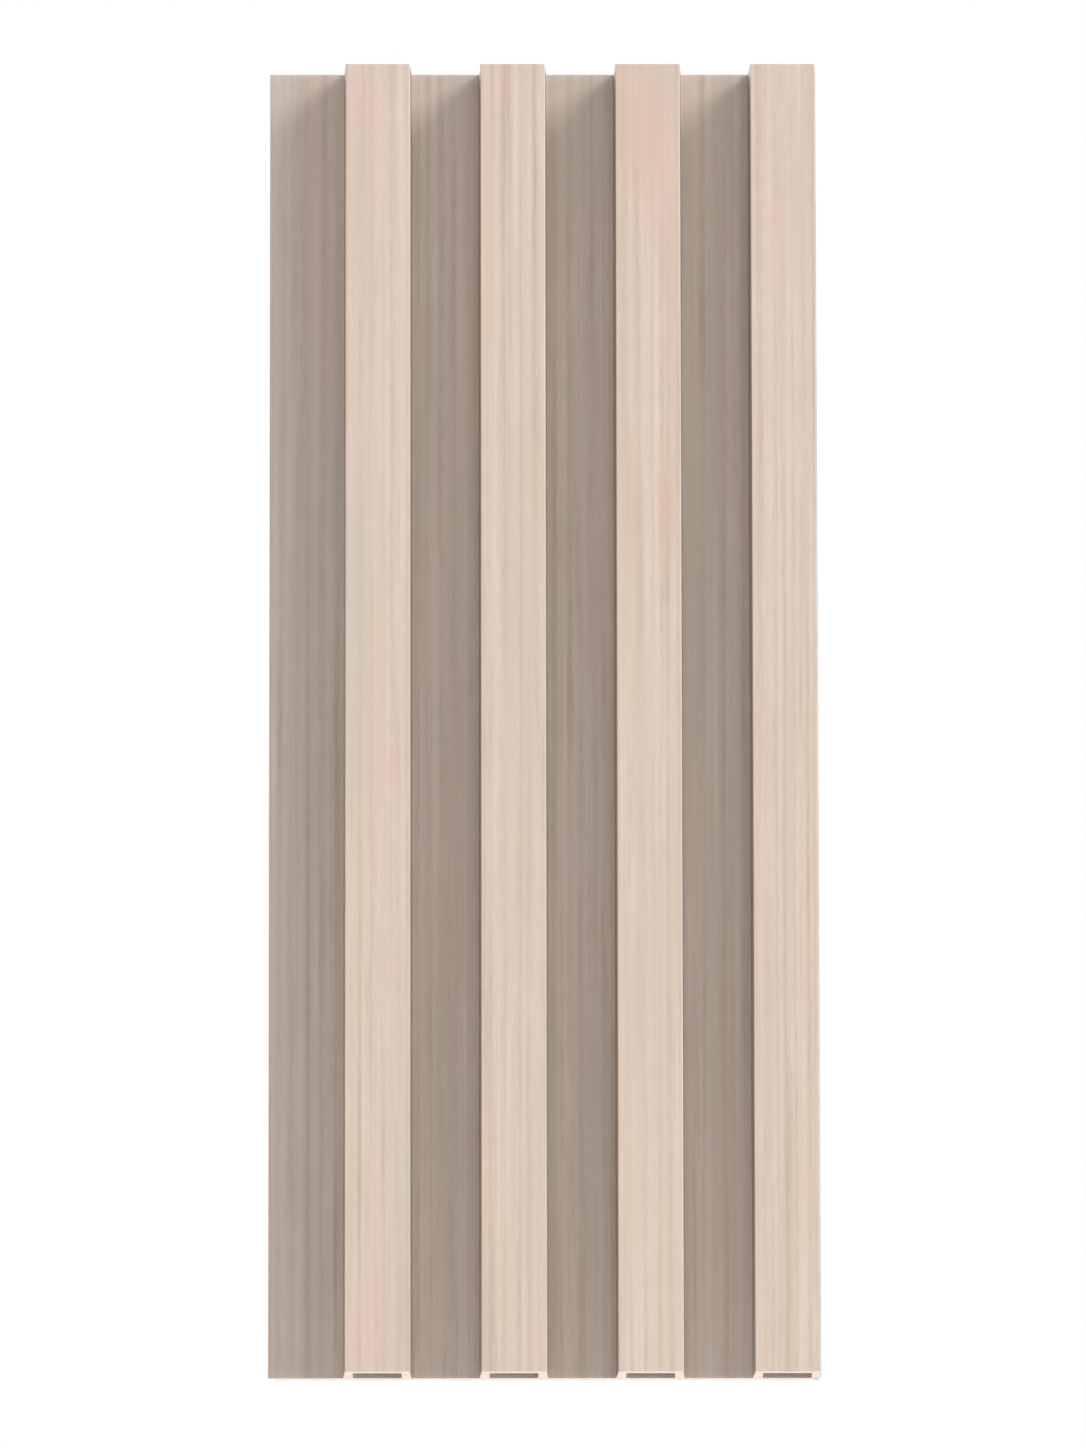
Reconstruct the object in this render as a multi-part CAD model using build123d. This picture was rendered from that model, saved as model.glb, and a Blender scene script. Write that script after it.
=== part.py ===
"""Fluted wall panel: one extruded length of hollow wood-plastic cladding board.

The section lies in the XY plane and is drawn along Z. X runs across the board, from the tongue on its left
edge to the groove on its right edge. Y runs through its thickness: the back face is at Y = 0, and the ribs
stand out towards -Y. The origin is the middle of the back face. All sizes are in millimetres.
"""

import os

from build123d import *

# The board
cover_width = 219.0  # from one joint to the next, without the tongue
board_length = 535.0
board_thickness = 26.0
web_thickness = 6.0  # the wall that the ribs stand on

# Ribs
rib_count = 4
rib_face_width = 26.0
rib_taper = 0.75  # how much wider each side of a rib is at its foot
rib_edge_radius = 0.3
rib_foot_radius = 0.4

# Hollow inside each rib
cavity_width = 19.6
cavity_depth = 14.8
cavity_corner_radius = 1.0

# Tongue on the left edge, flush with the floor of the flutes
tongue_reach = 2.8
tongue_thickness = 3.4
tongue_nose_radius = 0.4
tongue_lead_in = 0.8

# Groove in the right edge, which takes the next board's tongue
groove_depth = 3.3
groove_clearance = 0.15  # on each face of the tongue
groove_lip_setback = 0.5  # keeps the back lip off the next board
groove_mouth_radius = 0.5

# Shallow grooves in the back, which key the adhesive
glue_groove_count = 12
glue_groove_width = 8.0
glue_groove_floor_width = 6.4
glue_groove_depth = 0.8
back_edge_radius = 0.5

# Worked out from the sizes above
rib_pitch = cover_width / rib_count
rib_foot_width = rib_face_width + 2 * rib_taper
left_edge = -cover_width / 2
right_edge = cover_width / 2
face_y = -board_thickness
floor_y = -web_thickness
tongue_back_y = floor_y + tongue_thickness
first_rib_x = left_edge + rib_pitch - rib_foot_width / 2
rib_centres = [first_rib_x + rib_pitch * i for i in range(rib_count)]
glue_groove_pitch = cover_width / glue_groove_count
glue_groove_centres = [left_edge + glue_groove_pitch * (i + 0.5) for i in range(glue_groove_count)]


def block(x_low, x_high, y_low, y_high):
    """A rectangle given by its limits."""
    return Pos((x_low + x_high) / 2, (y_low + y_high) / 2) * Rectangle(x_high - x_low, y_high - y_low)


def tapered_bar(x, y_wide, y_narrow, wide, narrow):
    """A symmetrical trapezium about x, wide on one side and narrow on the other."""
    corners = [
        (x - wide / 2, y_wide),
        (x + wide / 2, y_wide),
        (x + narrow / 2, y_narrow),
        (x - narrow / 2, y_narrow),
    ]
    return make_face(Polyline(*corners, close=True))


def corners_at(section, x, y):
    """The section's corner at one point."""
    return [v for v in section.vertices() if abs(v.X - x) < 1e-3 and abs(v.Y - y) < 1e-3]


def board_outline():
    """The web with its ribs, tongue and groove, before anything is rounded."""
    section = block(left_edge, right_edge, floor_y, 0)
    for x in rib_centres:
        section += tapered_bar(x, floor_y, face_y, rib_foot_width, rib_face_width)
    section += block(left_edge - tongue_reach, left_edge, floor_y, tongue_back_y)
    section -= block(
        right_edge - groove_depth,
        right_edge,
        floor_y - groove_clearance,
        tongue_back_y + groove_clearance,
    )
    section -= block(right_edge - groove_lip_setback, right_edge, tongue_back_y, 0)
    for x in glue_groove_centres:
        section -= tapered_bar(x, 0, -glue_groove_depth, glue_groove_width, glue_groove_floor_width)
    return section


def rounded_outline(section):
    """Rounds the ribs' edges and feet, the two joint edges and the back edges."""
    for x in rib_centres:
        for side in (-1, 1):
            face_edge = corners_at(section, x + side * rib_face_width / 2, face_y)
            section = fillet(face_edge, rib_edge_radius)
    feet = [x - rib_foot_width / 2 for x in rib_centres]
    feet += [x + rib_foot_width / 2 for x in rib_centres[:-1]]
    for x in feet:
        section = fillet(corners_at(section, x, floor_y), rib_foot_radius)
    nose_x = left_edge - tongue_reach
    section = fillet(corners_at(section, nose_x, floor_y), tongue_nose_radius)
    section = chamfer(corners_at(section, nose_x, tongue_back_y), tongue_lead_in)
    lip_x = right_edge - groove_lip_setback
    section = fillet(corners_at(section, lip_x, tongue_back_y + groove_clearance), groove_mouth_radius)
    section = fillet(corners_at(section, lip_x, 0), back_edge_radius)
    section = fillet(corners_at(section, left_edge, 0), back_edge_radius)
    return section


def rib_cavities():
    """The hollows, which reach from behind each rib's face down to the level of the flutes' floor."""
    hollow = RectangleRounded(cavity_width, cavity_depth, cavity_corner_radius)
    return [Pos(x, floor_y - cavity_depth / 2) * hollow for x in rib_centres]


def fluted_panel():
    """The board: its section with the hollows taken out, drawn out to its sawn length."""
    section = rounded_outline(board_outline())
    for hollow in rib_cavities():
        section -= hollow
    return extrude(section, amount=board_length / 2, both=True)


os.makedirs("parts", exist_ok=True)
panel = fluted_panel()
export_step(panel, "parts/fluted_panel.step")
print("section area mm2", round(panel.volume / board_length, 1), "volume mm3", round(panel.volume))
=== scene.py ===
"""Gives the fluted wall panel its finish, and sets it in a plain studio.

Lengths are in metres, in the part's own frame: X across the board, Y into the wall, Z up along
the ribs.
"""

import math

import bpy
from bpy.props import FloatProperty, FloatVectorProperty, PointerProperty
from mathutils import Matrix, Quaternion, Vector

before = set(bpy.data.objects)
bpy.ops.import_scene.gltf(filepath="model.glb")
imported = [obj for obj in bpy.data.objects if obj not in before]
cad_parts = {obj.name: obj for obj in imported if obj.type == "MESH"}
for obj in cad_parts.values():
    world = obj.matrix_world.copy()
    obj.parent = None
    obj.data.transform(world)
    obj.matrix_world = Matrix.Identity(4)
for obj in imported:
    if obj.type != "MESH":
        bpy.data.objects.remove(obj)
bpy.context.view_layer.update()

bl_info = {
    "name": "Fluted Wall Panel",
    "version": (1, 0, 0),
    "blender": (4, 5, 0),
    "location": "3D View > Sidebar > Wall Panel",
    "description": "Finishes an extruded wood-plastic cladding board and lights it",
    "category": "Object",
}

BOARD = "fluted_panel"
MM = 0.001

# The board's section, as it was drawn
COVER_WIDTH = 219.0 * MM
RIB_COUNT = 4
RIB_PITCH = COVER_WIDTH / RIB_COUNT
RIB_FACE = 26.0 * MM
RIB_FOOT = 27.5 * MM
RIB_FACE_Y = -26.0 * MM
FLUTE_FLOOR_Y = -6.0 * MM
CAVITY_WIDTH = 19.6 * MM
CAVITY_DEPTH = 14.8 * MM
GROOVE_DEPTH = 3.3 * MM
GROOVE_TOP_Y = -6.15 * MM
LAST_RIB_X = COVER_WIDTH / 2 - RIB_FOOT / 2
HAIR = 0.05 * MM  # how far a mask reaches past a face

# Where each pattern starts in its noise. Other numbers give another board of the same kind.
STARTS = {
    "wander": 3.1,
    "board_long": 111.7,
    "common": 117.3,
    "pores": 122.9,
    "fading": 171.7,
    "pink": 131.3,
    "grey": 157.1,
    "peach": 143.7,
    "drag": 5.9,
    "saw": 8.3,
}
LAYER_SHARES = (0.54, 0.29, 0.17)  # of board-long streaks, common ones and pores in the tone
FADED, FULL = 0.75, 1.15  # strength of the streaks where they are weakest and strongest
MIDDLE_TONE = 0.5  # tone of the cap's main colour
TONE_SPREAD = 0.1  # from the middle tone to the palest or darkest, at full contrast
GLOSS_SPREAD = 0.15  # from the cap's mean roughness to that of its darkest or palest tone

# Pink stains in the grain of the third rib's face
STAINS = (
    # middle and reach along X, Y and Z in millimetres, and share of the stain at the middle
    ((38.8, -26, 239), (19, 14, 54), 0.46),
    ((34.5, -26, 86), (7, 14, 46), 0.5),
    ((47.4, -26, 86), (7, 14, 46), 0.5),
)

# Studio
FLOOR_RADIUS = 1.1
FLOOR_WHITENS = (0.5, 1.05)  # radius where the floor starts to turn white, and where it is white
CAMERA_AIM = Vector((-1.76, -16.0, -2.85)) * MM
SENSOR_WIDTH = 36.0  # of the camera, in its own millimetres


def linear(hex_colour):
    """An sRGB colour written as six hex digits, as linear red, green, blue and alpha."""
    channels = [int(hex_colour[i:i + 2], 16) / 255 for i in (1, 3, 5)]
    return (*[c / 12.92 if c <= 0.04045 else ((c + 0.055) / 1.055) ** 2.4 for c in channels], 1.0)


def colour(name, description, hex_colour):
    """A colour that the user may change."""
    return FloatVectorProperty(
        name=name,
        description=description,
        subtype="COLOR",
        size=4,
        min=0,
        max=1,
        default=linear(hex_colour),
    )


def length(name, description, millimetres, least=0.0):
    """A length that the user may change, down to the least."""
    return FloatProperty(
        name=name,
        description=description,
        unit="LENGTH",
        min=least * MM,
        default=millimetres * MM,
    )


def angle(name, description, degrees):
    """An angle that the user may change."""
    return FloatProperty(
        name=name, description=description, unit="ROTATION", default=math.radians(degrees)
    )


def share(name, description, value, least=0.0):
    """A share that the user may change, from the least to 1."""
    return FloatProperty(
        name=name, description=description, subtype="FACTOR", min=least, max=1, default=value
    )


def power(name, description, watts):
    """A lamp's power that the user may change."""
    return FloatProperty(
        name=name, description=description, unit="POWER", min=0, default=watts
    )


class BoardFinish(bpy.types.PropertyGroup):
    """Colours and grain of the board."""

    oak: colour("Oak", "Main colour of the wood-grain cap", "#DDCABB")
    oak_light: colour("Light streak", "Palest streaks of the grain", "#E8D7C9")
    oak_dark: colour("Dark streak", "Darkest streaks of the grain", "#C9B4A2")
    oak_pink: colour("Pink tint", "Tint of the pinker patches", "#E6C6BB")
    oak_peach: colour("Peach tint", "Tint of the warmer patches", "#E0C6AF")
    oak_grey: colour("Grey tint", "Tint of the greyer patches", "#D0C6B6")
    stain: colour("Stain", "Colour of the pink stains on the third rib", "#E0BCAA")
    core: colour("Core", "Bare wood-plastic under the cap", "#EADCD2")
    core_fleck: colour("Core fleck", "Wood flour that shows in the bare core", "#CDB5A4")
    streak_width: length("Streak width", "Width of a common grain streak", 2.75, 0.1)
    streak_length: length("Streak length", "Length of a common grain streak", 60, 1)
    drift: length("Drift", "How far a streak wanders sideways", 0.2)
    contrast: share("Contrast", "How strongly the streaks differ", 0.56, 0.05)
    # Painted shade: behind the faces the cap is painted greyer in the flutes and darker on the
    # ribs' sides, deeper than the lamps' own shade. The flutes' floor can be painted darker too,
    # but at 1 it isn't.
    flute_shade_saturation: share("Flute colour", "Share of the faces' colour that the flutes keep", 0.86)
    flute_shade_value: share("Flute value", "How light the flutes' floor is, beside the faces", 1.0)
    side_shade_value: share("Side value", "How light the ribs' sides are, beside their faces", 0.55)
    # Painted shade: the core is painted darker where it faces sideways, so that the lamps don't
    # wash it white
    core_side_shade_value: share("Core side value", "How light the core is facing sideways", 0.75)
    relief: length("Relief", "Depth of the embossed grain and of the saw's marks", 0.03)
    cap_thickness: length("Cap thickness", "Thickness of the cap on the sawn ends", 0.3)
    cap_roughness: share("Cap roughness", "Roughness of the matt cap", 0.65)
    core_roughness: share("Core roughness", "Roughness of the bare core", 0.8)
    sheen: share("Sheen", "Strength of the board's soft reflection", 0.35)


class StudioSettings(bpy.types.PropertyGroup):
    """Camera, lamps and background."""

    camera_distance: FloatProperty(
        name="Camera distance",
        description="From the camera to the board",
        unit="LENGTH",
        default=6.051,
    )
    camera_azimuth: angle("Camera azimuth", "Turned from straight in front, towards +X", -0.359)
    camera_elevation: angle("Camera elevation", "Above the board; negative is below", -10.144)
    camera_roll: angle("Camera roll", "Turned about its own line of sight", 0.086)
    lens: FloatProperty(
        name="Lens",
        description="Focal length, for a picture 36 mm long",
        unit="CAMERA",
        default=372.93,
    )
    key_power: power("Key lamp", "High on the right, draws the ribs' shadows", 415)
    side_power: power("Side lamp", "On the right, level with the board", 288)
    fill_power: power("Fill lamp", "Further in front on the right, reaches into the flutes", 72)
    rim_power: power("Rim lamp", "On the left, for the flute beside the tongue", 112)
    front_power: power("Front lamp", "Broad and weak, in front", 145)
    under_power: power("Under lamp", "Below the board, lights its lower end", 4.8)
    back_power: power("Back lamp", "Broad, behind the board, lights its back", 190)
    ambient: FloatProperty(
        name="Ambient", description="Strength of the even light", min=0, default=0.22
    )
    floor_drop: FloatProperty(
        name="Floor drop", description="Down from the origin", unit="LENGTH", default=1.3
    )


def add(tree, kind, links=None, **settings):
    """Adds one node.

    Settings are the node's own options, and links give its inputs values, or what feeds them.
    """
    node = tree.nodes.new(kind)
    for name, value in settings.items():
        setattr(node, name, value)
    for socket, value in (links or {}).items():
        if isinstance(value, bpy.types.Node):
            value = value.outputs[0]
        if isinstance(value, bpy.types.NodeSocket):
            tree.links.new(value, node.inputs[socket])
        else:
            node.inputs[socket].default_value = value
    return node


def streaks(tree, place, size, start, detail=1.0):
    """Noise from 0 to 1, in soft streaks of that size along X, Y and Z."""
    # The start is off the noise's own grid on all three axes
    corner = (start, start * 0.37, start * 0.61)
    stretch = [1 / side for side in size]
    mapped = {"Vector": place, "Location": corner, "Scale": stretch}
    mapped = add(tree, "ShaderNodeMapping", mapped)
    return add(tree, "ShaderNodeTexNoise", {"Vector": mapped, "Scale": 1.0, "Detail": detail})


def wandering(tree, place, drift):
    """The place, shifted a little sideways and slowly along the board, as grain wanders."""
    wander = streaks(tree, place, (45 * MM, 45 * MM, 160 * MM), STARTS["wander"])
    # The noise seldom leaves the middle half of its range, so the shift is set twice as wide
    offset = {"Value": wander, "To Min": -2 * drift, "To Max": 2 * drift}
    offset = add(tree, "ShaderNodeMapRange", offset)
    shift = add(tree, "ShaderNodeCombineXYZ", {"X": offset, "Y": offset})
    return add(tree, "ShaderNodeVectorMath", {0: place, 1: shift}, operation="ADD")


def cap_rim(tree, at, from_rib, thickness):
    """1 where the cap's own thickness shows on a sawn end, all along the front of the section."""
    half = {"Value": at["Y"], "From Min": RIB_FACE_Y, "From Max": FLUTE_FLOOR_Y}
    half.update({"To Min": RIB_FACE / 2 - thickness, "To Max": RIB_FOOT / 2 - thickness})
    side = add(tree, "ShaderNodeMapRange", half)
    out = add(tree, "ShaderNodeMath", {0: from_rib, 1: side}, operation="GREATER_THAN")
    behind_floor, behind_face = FLUTE_FLOOR_Y + thickness, RIB_FACE_Y + thickness
    shallow = add(tree, "ShaderNodeMath", {0: at["Y"], 1: behind_floor}, operation="LESS_THAN")
    sides = add(tree, "ShaderNodeMath", {0: out, 1: shallow}, operation="MINIMUM")
    face = add(tree, "ShaderNodeMath", {0: at["Y"], 1: behind_face}, operation="LESS_THAN")
    return add(tree, "ShaderNodeMath", {0: sides, 1: face}, operation="MAXIMUM")


def core_mask(tree, place, normal, cap_thickness):
    """1 where the bare core shows: the sawn ends, the hollows, the back and the groove."""
    at = add(tree, "ShaderNodeSeparateXYZ", {0: place}).outputs
    from_rib = add(tree, "ShaderNodeMath", {0: at["X"], 1: LAST_RIB_X}, operation="SUBTRACT")
    from_rib = add(tree, "ShaderNodeMath", {0: from_rib, 1: RIB_PITCH / 2}, operation="PINGPONG")

    facing = add(tree, "ShaderNodeSeparateXYZ", {0: normal}).outputs
    upright = add(tree, "ShaderNodeMath", {0: facing["Z"]}, operation="ABSOLUTE")
    sawn = add(tree, "ShaderNodeMath", {0: upright, 1: 0.5}, operation="GREATER_THAN")
    rim = cap_rim(tree, at, from_rib, cap_thickness)
    sawn = add(tree, "ShaderNodeMath", {0: sawn, 1: rim}, operation="SUBTRACT")

    back_y = FLUTE_FLOOR_Y + cap_thickness
    back = add(tree, "ShaderNodeMath", {0: at["Y"], 1: back_y}, operation="GREATER_THAN")

    wall_x = CAVITY_WIDTH / 2 + HAIR
    between_walls = add(tree, "ShaderNodeMath", {0: from_rib, 1: wall_x}, operation="LESS_THAN")
    hollow_y = FLUTE_FLOOR_Y - CAVITY_DEPTH - HAIR
    under_face = add(tree, "ShaderNodeMath", {0: at["Y"], 1: hollow_y}, operation="GREATER_THAN")
    hollow = add(tree, "ShaderNodeMath", {0: between_walls, 1: under_face}, operation="MINIMUM")

    groove_x = COVER_WIDTH / 2 - GROOVE_DEPTH - HAIR
    past_floor = add(tree, "ShaderNodeMath", {0: at["X"], 1: groove_x}, operation="GREATER_THAN")
    groove_y = GROOVE_TOP_Y - HAIR
    under_lip = add(tree, "ShaderNodeMath", {0: at["Y"], 1: groove_y}, operation="GREATER_THAN")
    groove = add(tree, "ShaderNodeMath", {0: past_floor, 1: under_lip}, operation="MINIMUM")

    outside = add(tree, "ShaderNodeMath", {0: sawn, 1: back}, operation="MAXIMUM")
    inside = add(tree, "ShaderNodeMath", {0: hollow, 1: groove}, operation="MAXIMUM")
    return add(tree, "ShaderNodeMath", {0: outside, 1: inside}, operation="MAXIMUM")


def stain_at(tree, place, middle, reach, most):
    """How strong one stain is: most at its middle, and softly down to 0 at its reach."""
    away = add(tree, "ShaderNodeVectorMath", {0: place, 1: middle}, operation="SUBTRACT")
    away = add(tree, "ShaderNodeVectorMath", {0: away, 1: reach}, operation="DIVIDE")
    away = add(tree, "ShaderNodeVectorMath", {0: away}, operation="LENGTH").outputs["Value"]
    fade = {"Value": away, "From Min": 1.0, "From Max": 0.0, "To Max": most}
    return add(tree, "ShaderNodeMapRange", fade, interpolation_type="SMOOTHSTEP")


def grain_tone(tree, place, wide, run):
    """Tone of the grain from dark to light: straight soft streaks of three lengths."""
    board_long = streaks(tree, place, (wide, wide, run * 10), STARTS["board_long"])
    common = streaks(tree, place, (wide, wide, run), STARTS["common"], detail=2.0)
    # Real pores are about 0.3 mm wide. They are drawn wider, so that they show in the render.
    pores = streaks(tree, place, (wide * 0.3, wide * 0.3, run * 0.15), STARTS["pores"])
    layers = add(tree, "ShaderNodeCombineXYZ", {0: board_long, 1: common, 2: pores})
    tone = {0: layers, 1: LAYER_SHARES}
    tone = add(tree, "ShaderNodeVectorMath", tone, operation="DOT_PRODUCT").outputs["Value"]
    # The streaks fade out and come back along the board. Most of the noise is from 0.35 to 0.65.
    strength = streaks(tree, place, (wide * 4, wide * 4, run * 1.5), STARTS["fading"])
    strength = {"Value": strength, "From Min": 0.35, "From Max": 0.65}
    strength.update({"To Min": FADED, "To Max": FULL})
    strength = add(tree, "ShaderNodeMapRange", strength)
    faded = {"Factor": strength, 2: MIDDLE_TONE, 3: tone}
    return add(tree, "ShaderNodeMix", faded, data_type="FLOAT", clamp_factor=False)


def oak_cap(tree, place, finish):
    """Colour and tone of the cap: its grain, under slow tints and three stains."""
    wide, run = finish.streak_width, finish.streak_length
    place = wandering(tree, place, finish.drift)
    tone = grain_tone(tree, place, wide, run)
    ramp = add(tree, "ShaderNodeValToRGB", {"Fac": tone})
    spread = TONE_SPREAD / finish.contrast
    stops = ramp.color_ramp.elements
    stops[0].position, stops[0].color = MIDDLE_TONE - spread, finish.oak_dark
    stops[1].position, stops[1].color = MIDDLE_TONE + spread, finish.oak_light
    stops.new(MIDDLE_TONE).color = finish.oak
    tinted = ramp.outputs[0]
    for tint, width, start, full_at in (
        # colour, width of a patch, its start, and the noise at which the tint would be full
        (finish.oak_pink, wide * 5, STARTS["pink"], 1.1),
        (finish.oak_grey, wide * 5, STARTS["grey"], 0.95),
        (finish.oak_peach, wide * 1.6, STARTS["peach"], 1.05),
    ):
        patch = streaks(tree, place, (width, width, run * 2.5), start)
        amount = {"Value": patch, "From Min": 0.5, "From Max": full_at}
        amount = add(tree, "ShaderNodeMapRange", amount)
        mixed = {"Factor": amount, 6: tinted, 7: tint}
        tinted = add(tree, "ShaderNodeMix", mixed, data_type="RGBA").outputs[2]
    for middle, reach, most in STAINS:
        amount = stain_at(tree, place, Vector(middle) * MM, Vector(reach) * MM, most)
        mixed = {"Factor": amount, 6: tinted, 7: finish.stain}
        tinted = add(tree, "ShaderNodeMix", mixed, data_type="RGBA").outputs[2]
    return tinted, tone


def by_facing(tree, normal, ahead, sideways):
    """One value on a surface that looks ahead, and another on one that looks sideways."""
    across = add(tree, "ShaderNodeSeparateXYZ", {0: normal}).outputs["X"]
    turned = add(tree, "ShaderNodeMath", {0: across}, operation="ABSOLUTE")
    # The change from one to the other falls on the rounded edges
    fade = {"Value": turned, "From Min": 0.4, "From Max": 0.9, "To Min": ahead, "To Max": sideways}
    return add(tree, "ShaderNodeMapRange", fade)


def painted_shade_behind_faces(tree, place, normal, cap_colour, finish):
    """The cap's colour with painted shade: greyer in the flutes, and darker on the ribs' sides."""
    depth = add(tree, "ShaderNodeSeparateXYZ", {0: place}).outputs["Y"]
    # It sets in just behind the rounded edges of the faces
    fade = {"Value": depth, "From Min": RIB_FACE_Y + 0.2 * MM, "From Max": RIB_FACE_Y + 0.8 * MM}
    behind = add(tree, "ShaderNodeMapRange", fade)
    painted_shade = {"Color": cap_colour, "Fac": behind}
    # Painted shade: less colour on the flutes' floor, and darker on the ribs' sides
    painted_shade["Saturation"] = by_facing(tree, normal, finish.flute_shade_saturation, 1.0)
    painted_shade["Value"] = by_facing(tree, normal, finish.flute_shade_value, finish.side_shade_value)
    return add(tree, "ShaderNodeHueSaturation", painted_shade)


def bare_core(tree, place, normal, finish):
    """Colour and height of the bare core, with its flecks of wood flour and the saw's marks, and
    painted shade where it faces sideways.
    """
    # Wood flour is about 0.3 mm. It is drawn coarser, so that it shows in the render.
    fleck_size = 0.9 * MM
    speck = {"Vector": place, "Scale": 1 / fleck_size, "Detail": 2.0}
    speck = add(tree, "ShaderNodeTexNoise", speck)
    fleck = {"Value": speck, "From Min": 0.56, "From Max": 0.96}
    fleck = add(tree, "ShaderNodeMapRange", fleck)
    # The die drags the flour into faint lines along the board
    drag = streaks(tree, place, (0.8 * MM, 0.8 * MM, 200 * MM), STARTS["drag"], detail=2.0)
    drag = {"Value": drag, "From Min": 0.5, "From Max": 1.0, "To Max": 0.25}
    drag = add(tree, "ShaderNodeMapRange", drag)
    amount = add(tree, "ShaderNodeMath", {0: fleck, 1: drag}, operation="MAXIMUM")
    mixed = {"Factor": amount, 6: finish.core, 7: finish.core_fleck}
    mixed = add(tree, "ShaderNodeMix", mixed, data_type="RGBA").outputs[2]
    # Painted shade: darker where the core faces sideways
    value = by_facing(tree, normal, 1.0, finish.core_side_shade_value)
    flecked = add(tree, "ShaderNodeHueSaturation", {"Color": mixed, "Value": value})
    # The saw's marks run across the board, and are drawn coarser too
    saw_marks = streaks(tree, place, (40 * MM, 0.6 * MM, 40 * MM), STARTS["saw"])
    return flecked, add(tree, "ShaderNodeMath", {0: speck, 1: saw_marks}, operation="ADD")


def wood_plastic_material(finish):
    """Wood-plastic composite, extruded with a wood-grain cap over a paler core.

    To the eye the cap is matt, with fine straight streaks along the board. Where it was sawn or
    isn't covered, the core is chalky and flecked.
    """
    material = bpy.data.materials.new("capped_wood_plastic")
    material.use_nodes = True
    tree = material.node_tree
    tree.nodes.clear()
    coordinates = add(tree, "ShaderNodeTexCoord")
    place, normal = coordinates.outputs["Object"], coordinates.outputs["Normal"]
    bare = core_mask(tree, place, normal, finish.cap_thickness)
    cap_colour, tone = oak_cap(tree, place, finish)
    cap_colour = painted_shade_behind_faces(tree, place, normal, cap_colour, finish)
    core_colour, core_height = bare_core(tree, place, normal, finish)
    surface = {"Factor": bare, 6: cap_colour, 7: core_colour}
    surface = add(tree, "ShaderNodeMix", surface, data_type="RGBA")
    height = {"Factor": bare, 2: tone, 3: core_height}
    height = add(tree, "ShaderNodeMix", height, data_type="FLOAT")
    bump = {"Height": height, "Distance": finish.relief, "Strength": 1.0}
    bump = add(tree, "ShaderNodeBump", bump)
    # The pores, which are darker, scatter a little more than the smooth streaks
    gloss = {"Value": tone}
    gloss["To Min"] = finish.cap_roughness + GLOSS_SPREAD
    gloss["To Max"] = finish.cap_roughness - GLOSS_SPREAD
    gloss = add(tree, "ShaderNodeMapRange", gloss)
    roughness = {"Factor": bare, 2: gloss, 3: finish.core_roughness}
    shader = {
        "Base Color": surface.outputs[2],
        "Roughness": add(tree, "ShaderNodeMix", roughness, data_type="FLOAT"),
        "Specular IOR Level": finish.sheen,
        "Normal": bump,
    }
    shader = add(tree, "ShaderNodeBsdfPrincipled", shader)
    add(tree, "ShaderNodeOutputMaterial", {"Surface": shader})
    return material


def seen_directly(tree):
    """1 for the camera's own rays and for reflections and refractions, which show plain white."""
    path = add(tree, "ShaderNodeLightPath").outputs
    straight = {0: path["Is Camera Ray"], 1: path["Is Glossy Ray"]}
    straight = add(tree, "ShaderNodeMath", straight, operation="MAXIMUM")
    through = {0: straight, 1: path["Is Transmission Ray"]}
    return add(tree, "ShaderNodeMath", through, operation="MAXIMUM")


def outward(azimuth, elevation):
    """The direction from the board. Azimuth 0 is straight in front, and it turns towards +X."""
    flat = math.cos(elevation)
    return Vector((math.sin(azimuth) * flat, -math.cos(azimuth) * flat, math.sin(elevation)))


def place_looking_at(thing, direction, distance, target):
    """Puts a camera or lamp at a distance in a direction from the target, turned to face it."""
    thing.rotation_mode = "QUATERNION"
    thing.location = target + direction * distance
    thing.rotation_quaternion = (-direction).to_track_quat("-Z", "Y")


class WALL_PANEL_OT_finish_board(bpy.types.Operator):
    """Give the board its wood-grain cap and bare core"""

    bl_idname = "wall_panel.finish_board"
    bl_label = "Finish Board"
    bl_options = {"REGISTER", "UNDO"}

    def execute(self, context):
        material = wood_plastic_material(context.scene.board_finish)
        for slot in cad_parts[BOARD].material_slots:
            slot.material = material
        return {"FINISHED"}


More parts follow.
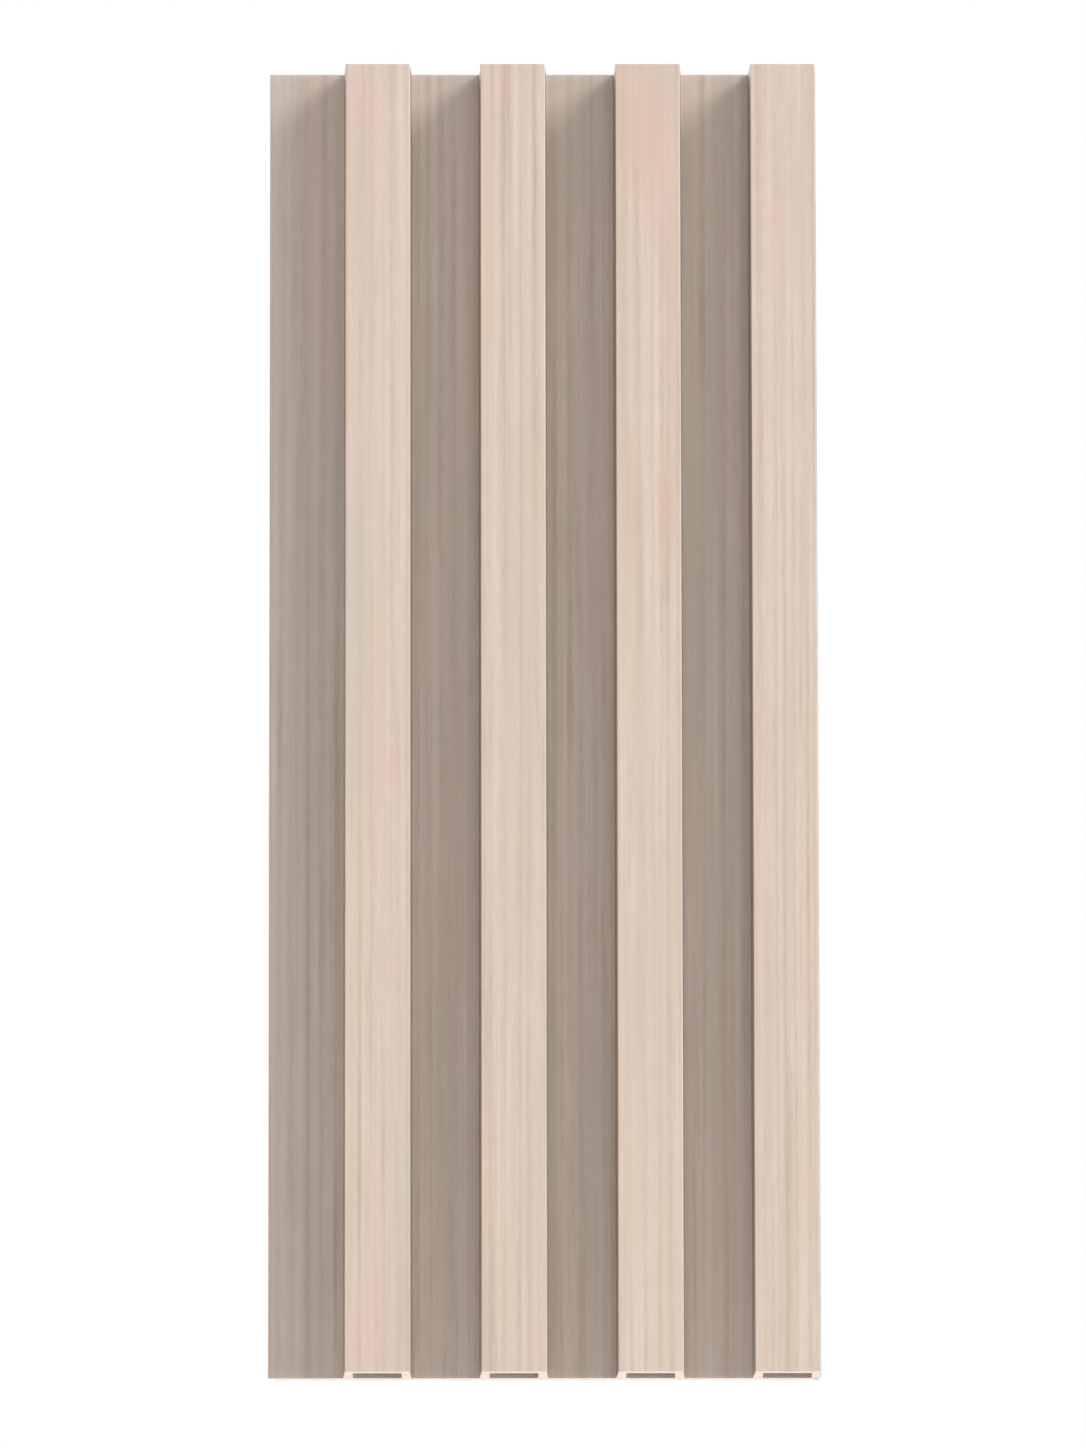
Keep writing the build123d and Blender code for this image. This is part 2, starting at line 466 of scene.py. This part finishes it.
class WALL_PANEL_OT_set_stage(bpy.types.Operator):
    """Set up the floor, the white background, the lamps and the camera"""

    bl_idname = "wall_panel.set_stage"
    bl_label = "Set Stage"
    bl_options = {"REGISTER", "UNDO"}

    def execute(self, context):
        studio = context.scene.studio_settings
        self.lay_floor(studio)
        self.fill_background(context.scene, studio)
        self.hang_lamps(context.scene, studio)
        self.aim_camera(context.scene, studio)
        context.scene.view_settings.view_transform = "Standard"
        return {"FINISHED"}

    def lay_floor(self, studio):
        """A plain pale floor, well below the board, which hangs as on a wall."""
        bpy.ops.object.select_all(action="DESELECT")
        bpy.ops.mesh.primitive_circle_add(
            vertices=96,
            radius=FLOOR_RADIUS,
            fill_type="NGON",
            location=(0, 0, -studio.floor_drop),
        )
        floor = bpy.context.object
        floor.name = "studio_floor"
        bpy.ops.object.transform_apply(location=True)
        # Painted board: matt and nearly white, and as white as the background at its rim
        material = bpy.data.materials.new("white_painted_board")
        material.use_nodes = True
        tree = material.node_tree
        tree.nodes.clear()
        paint = {"Color": linear("#F4F3F1"), "Roughness": 1.0}
        paint = add(tree, "ShaderNodeBsdfDiffuse", paint)
        glow = add(tree, "ShaderNodeEmission", {"Color": (1, 1, 1, 1), "Strength": 1.0})
        place = add(tree, "ShaderNodeTexCoord").outputs["Object"]
        flat = add(tree, "ShaderNodeVectorMath", {0: place, 1: (1, 1, 0)}, operation="MULTIPLY")
        out = add(tree, "ShaderNodeVectorMath", {0: flat}, operation="LENGTH").outputs["Value"]
        rim = {"Value": out, "From Min": FLOOR_WHITENS[0], "From Max": FLOOR_WHITENS[1]}
        rim = add(tree, "ShaderNodeMapRange", rim)
        white = {0: rim, 1: seen_directly(tree)}
        white = add(tree, "ShaderNodeMath", white, operation="MULTIPLY")
        surface = add(tree, "ShaderNodeMixShader", {0: white, 1: paint, 2: glow})
        # It is clear from beneath, so that it doesn't hide the board's lower end
        beneath = add(tree, "ShaderNodeNewGeometry").outputs["Backfacing"]
        clear = add(tree, "ShaderNodeBsdfTransparent")
        surface = add(tree, "ShaderNodeMixShader", {0: beneath, 1: surface, 2: clear})
        add(tree, "ShaderNodeOutputMaterial", {"Surface": surface})
        floor.data.materials.append(material)

    def fill_background(self, scene, studio):
        """White to the eye and in reflections, and an even, weaker light on the board."""
        world = bpy.data.worlds.new("studio")
        world.use_nodes = True
        tree = world.node_tree
        tree.nodes.clear()
        light = {"Color": (1, 1, 1, 1), "Strength": studio.ambient}
        light = add(tree, "ShaderNodeBackground", light)
        white = add(tree, "ShaderNodeBackground", {"Color": (1, 1, 1, 1), "Strength": 1.0})
        surface = {0: seen_directly(tree), 1: light, 2: white}
        surface = add(tree, "ShaderNodeMixShader", surface)
        add(tree, "ShaderNodeOutputWorld", {"Surface": surface})
        scene.world = world

    def hang_lamps(self, scene, studio):
        """Soft square lamps, each turned to the middle of the board."""
        lamps = (
            # name, power, azimuth and elevation in degrees, distance, width
            ("key_lamp", studio.key_power, 65, 35, 8.0, 3.2),
            ("side_lamp", studio.side_power, 67, 0, 8.0, 2.8),
            ("fill_lamp", studio.fill_power, 48, 5, 8.0, 3.4),
            ("rim_lamp", studio.rim_power, -75, 0, 8.0, 3.4),
            ("front_lamp", studio.front_power, 0, 10, 8.0, 5.0),
            ("under_lamp", studio.under_power, 180, -80, 1.15, 0.6),
            ("back_lamp", studio.back_power, 200, 25, 5.0, 2.7),
        )
        for name, watts, azimuth, elevation, distance, width in lamps:
            data = bpy.data.lights.new(name, "AREA")
            data.shape = "SQUARE"
            data.size = width
            data.energy = watts
            lamp = bpy.data.objects.new(name, data)
            scene.collection.objects.link(lamp)
            lamp.visible_camera = False
            direction = outward(math.radians(azimuth), math.radians(elevation))
            place_looking_at(lamp, direction, distance, Vector())

    def aim_camera(self, scene, studio):
        """The camera stands below the board's middle, a long way off, and looks a little up."""
        data = bpy.data.cameras.new("camera")
        data.sensor_width = SENSOR_WIDTH
        data.lens = studio.lens
        data.clip_end = 100.0
        camera = bpy.data.objects.new("camera", data)
        scene.collection.objects.link(camera)
        direction = outward(studio.camera_azimuth, studio.camera_elevation)
        place_looking_at(camera, direction, studio.camera_distance, CAMERA_AIM)
        roll = Quaternion((0, 0, 1), -studio.camera_roll)
        camera.rotation_quaternion = camera.rotation_quaternion @ roll
        scene.camera = camera


class VIEW3D_PT_wall_panel(bpy.types.Panel):
    """Steps and settings of the wall panel"""

    bl_label = "Wall Panel"
    bl_idname = "VIEW3D_PT_wall_panel"
    bl_space_type = "VIEW_3D"
    bl_region_type = "UI"
    bl_category = "Wall Panel"

    def draw(self, context):
        for group, operator in (
            (context.scene.board_finish, WALL_PANEL_OT_finish_board),
            (context.scene.studio_settings, WALL_PANEL_OT_set_stage),
        ):
            box = self.layout.box()
            for name in group.bl_rna.properties.keys():
                if name not in ("rna_type", "name"):
                    box.prop(group, name)
            box.operator(operator.bl_idname)


CLASSES = (
    BoardFinish,
    StudioSettings,
    WALL_PANEL_OT_finish_board,
    WALL_PANEL_OT_set_stage,
    VIEW3D_PT_wall_panel,
)


def register():
    for cls in CLASSES:
        bpy.utils.register_class(cls)
    bpy.types.Scene.board_finish = PointerProperty(type=BoardFinish)
    bpy.types.Scene.studio_settings = PointerProperty(type=StudioSettings)


def unregister():
    del bpy.types.Scene.studio_settings
    del bpy.types.Scene.board_finish
    for cls in reversed(CLASSES):
        bpy.utils.unregister_class(cls)


def main():
    """Registers the add-on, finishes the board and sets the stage."""
    register()
    bpy.ops.wall_panel.finish_board()
    bpy.ops.wall_panel.set_stage()


if __name__ == "__main__":
    main()
